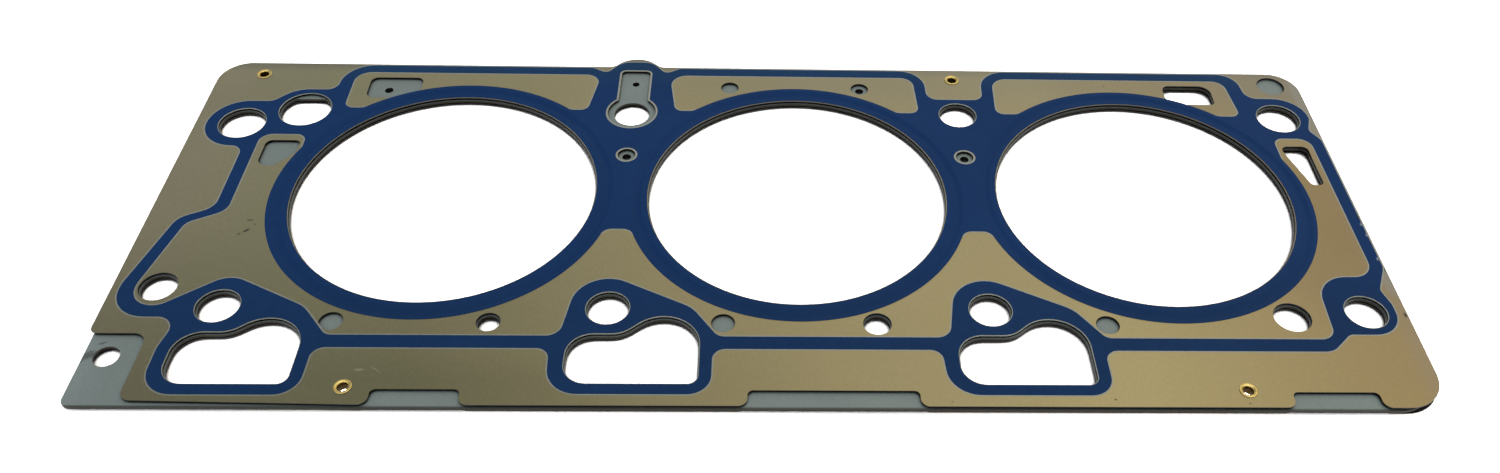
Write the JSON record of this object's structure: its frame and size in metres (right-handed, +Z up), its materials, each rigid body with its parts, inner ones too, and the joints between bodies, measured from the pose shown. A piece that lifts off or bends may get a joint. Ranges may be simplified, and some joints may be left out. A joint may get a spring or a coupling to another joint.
{
  "type": "cylinder head gasket",
  "caption": "Flat multi-layer steel gasket for one bank of a pushrod engine, with embossed bore beads, printed seal lines and openings for bolts, pushrods, oil and coolant.",
  "frame": {"origin": "on the middle cylinder's axis, half-way through the carrier sheet", "axes": "+X along the bank, +Y towards the far edge with the coolant slots, +Z up towards the cylinder head"},
  "size_m": [0.3783, 0.1553, 0.0034],
  "materials": {
    "carrier_steel": "plain mill finish, dull grey",
    "active_steel": "satin spring steel with a thin khaki anti-friction film",
    "seal_elastomer": "screen-printed dark blue elastomer, satin",
    "eyelet_brass": "rolled brass, dull"
  },
  "bodies": {
    "root": {"carrier_sheet": "carrier_steel", "upper_active_sheet": "active_steel", "lower_active_sheet": "active_steel", "upper_seal_coat": "seal_elastomer", "lower_seal_coat": "seal_elastomer", "eyelet_1": "eyelet_brass", "eyelet_2": "eyelet_brass", "eyelet_3": "eyelet_brass", "eyelet_4": "eyelet_brass"}
  },
  "joints": []
}
